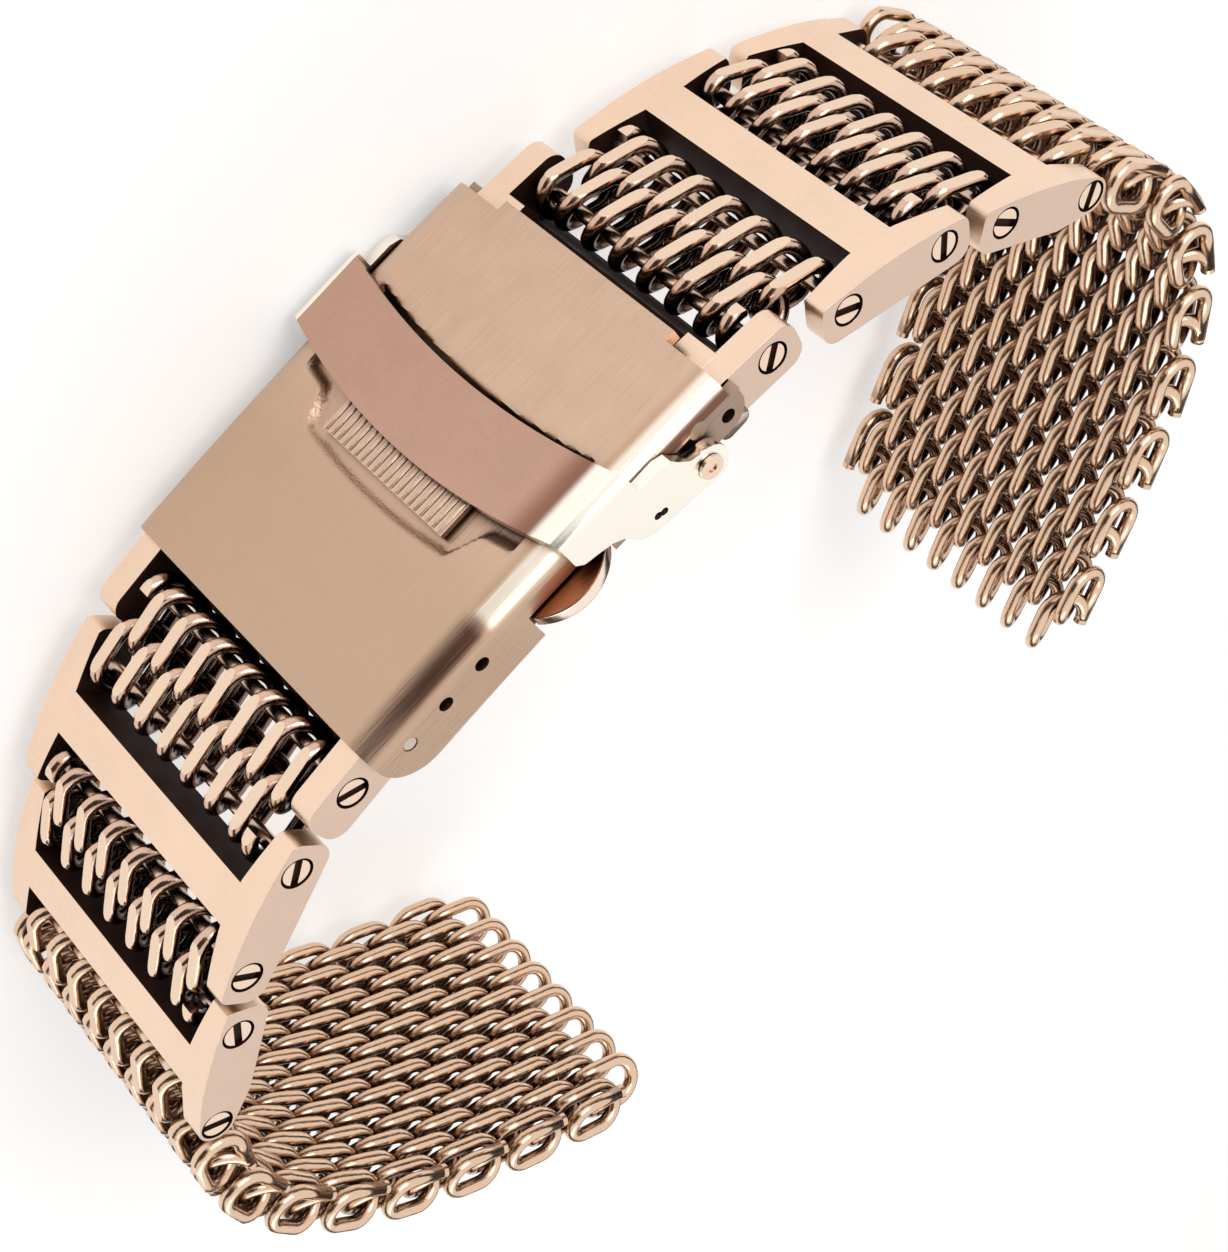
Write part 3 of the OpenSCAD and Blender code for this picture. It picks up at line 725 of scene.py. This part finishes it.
def link_rail_width(x):
    """A link's rails are widest beside its bar."""
    reach = ROD_SPAN / 2 + RAIL_OVER
    share = min(max((abs(x) - BAR_W / 2) / (reach - BAR_W / 2), 0), 1)
    return WIDE_RAIL + (NARROW_RAIL - WIDE_RAIL) * share


def in_hole(x, y, holes):
    return any(math.hypot(x - hole, y) < COUNTERBORE_D / 2 + 0.02 for hole in holes)


def link_slot(holes):
    """Slot 1, painted black as shade, for faces in a window or a counterbore, and slot 2 for a link's
    sides, painted darker as shade.
    """
    def choose(middle, normal):
        depth = LINK_W / 2 - abs(middle.z)
        if 0.02 < depth < COUNTERBORE_DEPTH + 0.05 and in_hole(middle.x, middle.y, holes):
            return 1
        outwards = normal.z * math.copysign(1, middle.z)
        if depth < 0.1 and outwards > 0.7:
            return 2
        across = abs(normal.x) > 0.7 and depth > RAIL_W + 0.3
        return 1 if across or (outwards < -0.7 and depth > RAIL_W - 0.6) else 0
    return choose


def link_mesh(name, outline):
    bm = bmesh.new()
    rails(bm, arched(split_long(outline)), [(-ROD_SPAN / 2, 0), (ROD_SPAN / 2, 0)], link_rail_width)
    half = BAR_W / 2
    bar = arched(split_long([(-half, -1), (half, -1), (half, RAIL_TOP), (-half, RAIL_TOP)]))
    slab(bm, bar, -LINK_W / 2 + OVERLAP, LINK_W / 2 - OVERLAP)
    return painted(to_mesh(name, bm), link_slot((-ROD_SPAN / 2, ROD_SPAN / 2)))


def end_link_mesh(half):
    """An end link, whose rails come out from below the cover. Inside the window its bar is painted
    black as shade.
    """
    bm = bmesh.new()
    wide_x = END_RAIL_X[half]
    round_end = rail_outline(wide_x, END_LINK_L + END_RAIL_OVER[half])[:18]
    outline = round_end + [(wide_x + 1.2, -RAIL_BOTTOM), (wide_x, -0.5), (wide_x, RAIL_TOP)]
    outline = turned(outline, END_LINK_L, END_RAIL_TURN[half])
    rails(bm, split_long(outline), [(END_LINK_L, 0)], lambda x: RAIL_W)
    neck = [(0, -NECK_HALF_H), (wide_x + 1, -NECK_HALF_H), (wide_x + 1, NECK_HALF_H), (0, NECK_HALF_H)]
    web = [(WEB_X[0], WEB_FOOT), (WEB_X[1], WEB_FOOT), (WEB_X[1], WEB_TOP[1]), (WEB_X[0], WEB_TOP[0])]
    for sign in (-1, 1):
        slab(bm, neck, sign * (LINK_W / 2 - RAIL_W - OVERLAP), sign * NECK_Z)
        if half == "upper":
            slab(bm, web, sign * (LINK_W / 2 - RAIL_W + 0.2), sign * WEB_Z[sign])
    lip = [(LIP_X[half], -RAIL_BOTTOM), (LIP_X[half], -RAIL_BOTTOM + LIP_H), (2.2, -0.6)]
    bar = [(0, -0.8), (1.2, -RAIL_BOTTOM)] + lip + [(2.2, 0.8), (0, 0.8)]
    slab(bm, split_long(bar), -NECK_Z + 0.1, NECK_Z - 0.1)
    slab(bm, arc(0, 0, LUG_R, 0, 360, 32)[:-1], -NECK_Z, NECK_Z)
    choose = link_slot((END_LINK_L,))

    def choose_end(middle, normal):
        in_window = abs(middle.z) < WEB_Z[-1] and middle.x > 1.1 and middle.y < 0.9
        return 1 if in_window else choose(middle, normal)
    return painted(to_mesh(f"{half}_end_link_shape", bm), choose_end)


def screw_head(bm, x, sign, turn):
    """A slotted head: two half discs with a slot between them, over a floor."""
    floor = HEAD_TOP - HEAD_SLOT_DEPTH
    r = HEAD_D / 2
    open_angle = math.degrees(math.asin(HEAD_SLOT_HALF_W / r))
    for part_turn in (0, 180):
        half_disc = arc(0, 0, r, open_angle, 180 - open_angle, 16)
        half_disc = [(x + px, py) for px, py in turned(half_disc, 0, turn + part_turn)]
        slab(bm, half_disc, sign * (floor - 0.1), sign * HEAD_TOP)
    slab(bm, arc(x, 0, r - 0.01, 0, 360, 28)[:-1], sign * (floor - 0.2), sign * floor)


def rods_mesh(name, places):
    """Rods with a slotted head at both ends. Slot 1, painted black as shade, is for the floors of the
    heads.
    """
    bm = bmesh.new()
    for x, turn in places:
        rod = arc(x, 0, ROD_D / 2, 0, 360, 24)[:-1]
        slab(bm, rod, -LINK_W / 2 + OVERLAP, LINK_W / 2 - OVERLAP)
        for sign in (-1, 1):
            screw_head(bm, x, sign, turn)
    floor = HEAD_TOP - HEAD_SLOT_DEPTH + 0.02

    def choose(middle, normal):
        return 1 if floor - 0.5 < abs(middle.z) < floor else 0
    return painted(to_mesh(name, bm), choose)


# The wire mesh and the links
window_row = window_row_mesh()
free_row = free_row_mesh()
back_to_front = Matrix.Rotation(math.pi, 4, "Y")
for half in HALVES:
    for i in (1, 2):
        offset = ROW_SHARE * WINDOW_SPANS[half][i - 1] - ROW_INSET
        middle = along(half, window_at(half, i), SLOPES[half][2 * i - 1])
        for k, place in ((2 * i - 1, shifted(-offset)), (2 * i, shifted(offset) @ back_to_front)):
            node = f"{half}_row_{k}"
            piece(f"{node}_wire", window_row, middle @ place, node, (SHADED_WINDOW_WIRE, GROUND), "mesh", node)
    node = f"{half}_row_5"
    place = along(half, free_row_at(half), SLOPES[half][5]) @ back_to_front
    piece(f"{node}_wire", free_row, place, node, (FREE_WIRE, FREE_GROUND), "mesh", node)
    for i in range(1, MESH_PAIRS + 1):
        node = f"{half}_mesh_{i}"
        slope = row_slope(half, 2 * i - 1)
        data = pair_mesh(node, ROW_PITCH[half], math.radians(row_slope(half, 2 * i) - slope))
        place = along(half, pair_hinge_at(half, i), slope)
        piece(f"{node}_wire", data, place, node, (FREE_WIRE, FREE_GROUND), "mesh", node)

link_meshes = {
    1: link_mesh("link_1", rail_outline(-ROD_SPAN / 2 - RAIL_OVER, ROD_SPAN / 2 + RAIL_OVER)),
    2: link_mesh("link_2", tapered_outline()),
}
link_rods = rods_mesh("link_rods", list(zip((-ROD_SPAN / 2, ROD_SPAN / 2), LINK_SLOT_TURNS)))
end_rod = rods_mesh("end_rod", [(0, END_SLOT_TURN)])
# The steels of the links and rods, with the near-black one as painted shade
LINK_STEELS_AND_SHADE = (LINK_SATIN, RECESS_SHADE, SHADED_LINK_SIDE)
ROD_STEELS_AND_SHADE = (ROD_STEEL, RECESS_SHADE)
LINK_ROUNDING = 0.14
SCREW_ROUNDING = 0.05


def place_link(data, matrix, node):
    part = piece(f"{node}_frame", data, matrix, node, LINK_STEELS_AND_SHADE, "link", node)
    bevelled(part, LINK_ROUNDING)


def place_screws(name, data, matrix, body, node):
    part = piece(name, data, matrix, body, ROD_STEELS_AND_SHADE, "pin", node)
    bevelled(part, SCREW_ROUNDING)


for half in HALVES:
    for i, data in link_meshes.items():
        node = f"{half}_link_{i}"
        matrix = along(half, link_at(half, i), SLOPES[half][2 * i])
        place_link(data, matrix, node)
        place_screws(f"{node}_screws", link_rods, matrix, node, f"{node}_rods")
    node = f"{half}_end_link"
    place_link(end_link_mesh(half), along(half, BAR_AT[half], SLOPES[half][0]), node)
    matrix = along(half, end_rod_at(half), SLOPES[half][0])
    place_screws(f"{node}_screw", end_rod, matrix, node, f"{half}_end_rod")


# The clasp


def ramp(value, low, high):
    """A smooth step from 0 at low to 1 at high."""
    t = min(max((value - low) / (high - low), 0), 1)
    return t * t * (3 - 2 * t)


def adjust_y(x):
    return -1.95 - x * x / 2 / CLASP_R


def flap_edges(z):
    """Where the flap's band, whose edges are two arcs, begins and ends along the clasp."""
    return tuple(x - math.sqrt(r * r - z * z) for x, r in FLAP_EDGE_ARCS)


def dent(x, z):
    """Depth to which the cover is pressed in at a point."""
    near, far = flap_edges(z)
    near -= 0.5 + GRIP_REACH * ramp(-abs(z), -GRIP_HALF_W - 1.6, -GRIP_HALF_W - 0.1)
    return DENT_DEPTH * ramp(x, near - 0.7, near + 0.15) * ramp(-x, -far - 0.45, -far + 0.1)


def wall_depth(x):
    """Depth of a wall's lower edge, with round corners and a gap for the push-button."""
    if abs(x) < BUTTON_HALF_L + BUTTON_GAP:
        return -(BUTTON_TOP + 0.2)
    depth = COVER_H + x * x / 2 / CLASP_R
    for r, gap in ((WALL_CORNER_R[0], x - COVER_X[0]), (WALL_CORNER_R[1], COVER_X[1] - x)):
        if gap < r:
            depth -= r - math.sqrt(max(r * r - (r - gap) ** 2, 0))
    return depth


def cover_section(x):
    """The cover's closed outline across the band at a place along it, as (x, y, z) points."""
    crown = -x * x / 2 / CLASP_R
    low = -wall_depth(x)
    r, drop = COVER_EDGE
    w = COVER_HALF_W
    step = WALL_INSET * ramp(x, WALL_STEP_X, WALL_STEP_X + 0.3)
    fold = max(crown - WALL_STEP_Y, low + 0.02)
    outer = [(w - step, low + (fold - low) * k / 3) for k in range(4)]
    outer += [(w, fold + 0.01 + (crown - drop - fold) * k / 2) for k in range(2)]
    for k in range(EDGE_STEPS + 1):
        angle = math.pi / 2 * k / EDGE_STEPS
        outer.append((w - r + r * math.cos(angle), crown - drop + drop * math.sin(angle)))
    near_side = list(outer)
    for k in range(1, TOP_STEPS):
        z = (w - r) * (1 - 2 * k / TOP_STEPS)
        outer.append((z, crown - dent(x, z)))
    outer += [(-z, y) for z, y in reversed(near_side)]
    inner_w = w - COVER_T
    inner_top = crown - COVER_T
    inner_side = [(-inner_w, low + (inner_top - low) * k / 6) for k in range(7)]
    inner = inner_side + [(inner_w * (k / 12 - 1), inner_top) for k in range(1, 24)]
    inner += [(-z, y) for z, y in reversed(inner_side)]
    return [Vector((x, y, z)) for z, y in outer + inner]


def cover_stations():
    """Places along the cover, close together at its ends, its gaps and the dent."""
    x0, x1 = COVER_X
    places = [x0 + 2.8 * (k / 14) ** 2 for k in range(15)]
    places += [x1 - 1.6 * (k / 12) ** 2 for k in range(13)]
    places += [x0 + 3 + (x1 - x0 - 5) * k / 110 for k in range(111)]
    gap = BUTTON_HALF_L + BUTTON_GAP
    for side in (-1, 1):
        places = [x for x in places if abs(x - side * gap) > 0.05]
        places += [side * gap - 0.005, side * gap + 0.005]
    places = sorted(places)
    return [x for k, x in enumerate(places) if k == 0 or x - places[k - 1] > 0.004]


def cover_mesh():
    bm = bmesh.new()
    rings = [[bm.verts.new(p) for p in cover_section(x)] for x in cover_stations()]
    for first, second in zip(rings, rings[1:]):
        join_loops(bm, first, second)
    bm.faces.new(rings[0])
    bm.faces.new(rings[-1])
    bmesh.ops.remove_doubles(bm, verts=bm.verts, dist=0.0005)
    return to_mesh("cover_shell", bm)


def round_cutter(x, y, d):
    return cutter_from(arc(x, y, d / 2, 0, 360, 32)[:-1], -CUTTER_Z, CUTTER_Z)


def shoulder_cutter(sign):
    x0 = COVER_X[1] - SHOULDER_L
    outline = [(x0, -SHOULDER_DEPTH), (x0 + 2, -SHOULDER_DEPTH), (x0 + 2, 1), (x0, 1)]
    return cutter_from(outline, sign * TONGUE_HALF_W, sign * CUTTER_Z)


def cutter_from(outline, z0, z1):
    bm = bmesh.new()
    slab(bm, outline, z0, z1)
    cutter = bpy.data.objects.new("cutter", to_mesh("cutter", bm))
    bpy.context.scene.collection.objects.link(cutter)
    cutter.matrix_world = clasp_frame()
    return cutter


def drilled(data, matrix, cutters):
    """The mesh with the cutters taken away. The cutters are removed."""
    work = bpy.data.objects.new("work", data)
    bpy.context.scene.collection.objects.link(work)
    work.matrix_world = matrix
    for cutter in cutters:
        cut = work.modifiers.new("cut", "BOOLEAN")
        cut.operation = "DIFFERENCE"
        cut.solver = "EXACT"
        cut.object = cutter
    bpy.context.view_layer.update()
    graph = bpy.context.evaluated_depsgraph_get()
    result = bpy.data.meshes.new_from_object(work.evaluated_get(graph))
    for used in [work] + cutters:
        bpy.data.objects.remove(used)
    return result


def cover_slot(middle, normal):
    """Slot 1, painted darker as shade, is for the walls beyond the flap."""
    drop = -middle.x ** 2 / 2 / CLASP_R - middle.y
    return 1 if middle.x > WALL_STEP_X and drop > COVER_EDGE[1] + 0.2 else 0


def make_cover():
    cutters = [round_cutter(x, adjust_y(x), SMALL_HOLE_D) for x in ADJUST_X]
    cutters.append(round_cutter(*COVER_PIN, PIN_HOLE_D))
    cutters += [round_cutter(*hole, SMALL_HOLE_D) for hole in (FLAP_PIVOT, TOOL_HOLE)]
    cutters += [shoulder_cutter(sign) for sign in (-1, 1)]
    data = painted(drilled(cover_mesh(), clasp_frame(), cutters), cover_slot)
    cover_materials = (COVER_SATIN, SHADED_WALL_SATIN)
    part = piece("clasp_cover_shell", data, clasp_frame(), "cover", cover_materials, "cover", "clasp_cover")
    bevelled(part, 0.08, 2)


make_cover()

# The flap's arms start here, and from there on its sheet is polished, with a near-white colour as
# painted highlight
FLAP_ARM_Z = 11.2


def flap_slot(middle, normal):
    return 1 if abs(middle.z) > FLAP_ARM_Z else 0


def button_slot(middle, normal):
    """A button's flat upper face has a painted dark red reflection, and the rest is polished, with a
    painted highlight.
    """
    return 0 if normal.y > 0.7 else 1


def plain_slot(middle, normal):
    return 0


# The solids that keep their shape: materials, how they lie on it, the record's slot, and the rounding
DRESSED = {
    "safety_flap": ((FLAP_SATIN, FLAP_POLISH_HIGHLIGHT), flap_slot, "flap", 0.12),
    "thumb_grip": ((GRIP_STEEL,), plain_slot, "cover", 0.05),
    "middle_blade": ((BLADE_SATIN,), plain_slot, "blade", 0.08),
    "long_blade": ((BLADE_SATIN,), plain_slot, "blade", 0.08),
    "button_left": ((BUTTON_DARK_REFLECTION, BUTTON_RIM_HIGHLIGHT), button_slot, "button", 0.1),
    "button_right": ((BUTTON_DARK_REFLECTION, BUTTON_RIM_HIGHLIGHT), button_slot, "button", 0.1),
}


def dressed(node, materials, choose, slot, width):
    """A copy of a solid with round edges, in place of it."""
    bm = bmesh.new()
    bm.from_mesh(frame["nodes"][node].data)
    bmesh.ops.remove_doubles(bm, verts=bm.verts, dist=0.002 * MM)
    bmesh.ops.dissolve_limit(bm, angle_limit=math.radians(1), verts=bm.verts, edges=bm.edges)
    for face in bm.faces:
        face.smooth = True
    data = bpy.data.meshes.new(f"{node}_shape")
    bm.to_mesh(data)
    bm.free()
    painted(data, choose, ORIGIN)
    body = frame["nodes"][node]["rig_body"]
    part = piece(f"{node}_finish", data, Matrix.Identity(4), body, materials, slot, node)
    return bevelled(part, width)


for node, (materials, choose, slot, width) in DRESSED.items():
    dressed(node, materials, choose, slot, width)

# The solids that stay as they are
KEPT = {
    "cover_hinge_pin": SHADED_WALL_SATIN,
    "flap_rivets": ROD_STEEL,
    "blade_hinge_pin": PIN_STEEL,
    "button_spring_left": PIN_STEEL,
    "button_spring_right": PIN_STEEL,
    "upper_spring_bar": PIN_STEEL,
    "lower_spring_bar": PIN_STEEL,
}
for node, material in KEPT.items():
    solid = frame["nodes"][node]
    solid.data.materials.clear()
    solid.data.materials.append(material)

# Floor, light and camera
BACKGROUND = 1.0
WHITE = (1, 1, 1, 1)
SKY = (1, 0.98, 0.96, 1)
SKY_STRENGTH = 0.55
FLOOR_HALF_SIZE = 3
PAPER = (0.8, 0.8, 0.8, 1)
PAPER_ROUGHNESS = 0.9
PAPER_GLOW = 0.4
CARD = (0.02, 0.012, 0.01, 1)
CARD_RADIUS = 0.6
CARD_STEPS = 48
# The lamps, in metres, aim at the middle of the band
MIDDLE = (0, 0, 0.013)
KEY_AT = (0.19, 0.34, 0.5)
KEY_COLOUR = (1, 0.99, 0.97)
FILL_AT = (-0.4, -0.3, 0.45)
LAMP_SIZE = 0.3
# The camera, in millimetres and degrees
CAMERA_LENS = 70.66
CAMERA_AT = Vector((-4.051, 127.736, 100.47))
CAMERA_TURN = (-44.4302, -37.8144, -30.5939)


def white_ray_shader(nodes, links, plain, output):
    """Shows white to the camera and in reflections, and leaves the plain shader elsewhere."""
    rays = nodes.new("ShaderNodeLightPath")
    reach = nodes.new("ShaderNodeMath")
    reach.operation = "ADD"
    reach.use_clamp = True
    links.new(rays.outputs["Is Camera Ray"], reach.inputs[0])
    links.new(rays.outputs["Is Glossy Ray"], reach.inputs[1])
    both = nodes.new("ShaderNodeMath")
    both.operation = "ADD"
    both.use_clamp = True
    links.new(reach.outputs["Value"], both.inputs[0])
    links.new(rays.outputs["Is Transmission Ray"], both.inputs[1])
    mix = nodes.new("ShaderNodeMixShader")
    links.new(both.outputs["Value"], mix.inputs["Fac"])
    links.new(plain, mix.inputs[1])
    links.new(mix.outputs["Shader"], output)
    return mix


def make_world():
    world = bpy.data.worlds.new("studio")
    bpy.context.scene.world = world
    world.use_nodes = True
    nodes = world.node_tree.nodes
    links = world.node_tree.links
    plain = nodes["Background"]
    plain.inputs["Color"].default_value = SKY
    plain.inputs["Strength"].default_value = SKY_STRENGTH
    white = nodes.new("ShaderNodeBackground")
    white.inputs["Color"].default_value = WHITE
    white.inputs["Strength"].default_value = BACKGROUND
    output = nodes["World Output"].inputs["Surface"]
    mix = white_ray_shader(nodes, links, plain.outputs["Background"], output)
    links.new(white.outputs["Background"], mix.inputs[2])


def make_floor():
    bm = bmesh.new()
    bmesh.ops.create_grid(bm, x_segments=1, y_segments=1, size=FLOOR_HALF_SIZE)
    data = bpy.data.meshes.new("floor")
    bm.to_mesh(data)
    bm.free()
    floor = bpy.data.objects.new("floor", data)
    bpy.context.scene.collection.objects.link(floor)
    material = bpy.data.materials.new("floor_paper")
    material.use_nodes = True
    nodes = material.node_tree.nodes
    links = material.node_tree.links
    shader = nodes["Principled BSDF"]
    lit = nodes.new("ShaderNodeBsdfPrincipled")
    for paper in (shader, lit):
        paper.inputs["Base Color"].default_value = PAPER
        paper.inputs["Roughness"].default_value = PAPER_ROUGHNESS
        paper.inputs["Emission Color"].default_value = WHITE
    lit.inputs["Emission Strength"].default_value = PAPER_GLOW
    output = nodes["Material Output"].inputs["Surface"]
    mix = white_ray_shader(nodes, links, shader.outputs["BSDF"], output)
    links.new(lit.outputs["BSDF"], mix.inputs[2])
    data.materials.append(material)


def make_lamp(name, location, watts, colour=WHITE[:3]):
    light = bpy.data.lights.new(name, "AREA")
    light.shape = "SQUARE"
    light.size = LAMP_SIZE
    light.energy = watts
    light.color = colour
    lamp = bpy.data.objects.new(name, light)
    bpy.context.scene.collection.objects.link(lamp)
    lamp.location = location
    aim = Vector(MIDDLE) - Vector(location)
    lamp.rotation_euler = aim.to_track_quat("-Z", "Y").to_euler()


def make_camera():
    data = bpy.data.cameras.new("camera")
    data.sensor_width = 36
    data.lens = CAMERA_LENS
    data.clip_start = 0.01
    data.clip_end = 20
    camera = bpy.data.objects.new("camera", data)
    bpy.context.scene.collection.objects.link(camera)
    camera.location = CAMERA_AT * MM
    camera.rotation_euler = [math.radians(a) for a in CAMERA_TURN]
    bpy.context.scene.camera = camera


def make_dark_card(name, azimuths, height, shades=False):
    """A dark piece of card that stands round the object and only shows in its reflections."""
    bm = bmesh.new()
    for k in range(CARD_STEPS):
        corners = []
        for step, z in ((k, 0), (k + 1, 0), (k + 1, height), (k, height)):
            angle = math.radians(azimuths[0] + (azimuths[1] - azimuths[0]) * step / CARD_STEPS)
            x, y = CARD_RADIUS * math.cos(angle), CARD_RADIUS * math.sin(angle)
            corners.append(bm.verts.new((x, y, z)))
        bm.faces.new(corners)
    data = bpy.data.meshes.new(name)
    bm.to_mesh(data)
    bm.free()
    material = bpy.data.materials.new(f"{name}_paper")
    material.use_nodes = True
    material.node_tree.nodes["Principled BSDF"].inputs["Base Color"].default_value = CARD
    data.materials.append(material)
    card = bpy.data.objects.new(name, data)
    bpy.context.scene.collection.objects.link(card)
    card.visible_camera = False
    card.visible_diffuse = False
    card.visible_shadow = shades


make_world()
make_floor()
make_dark_card("dark_band", (150, 400), 0.22)
make_dark_card("dark_side", (96, 150), 0.9, shades=True)
make_lamp("key", KEY_AT, 1.2, KEY_COLOUR)
make_lamp("fill", FILL_AT, 0.5)
make_camera()
bpy.context.scene.view_settings.view_transform = "Standard"
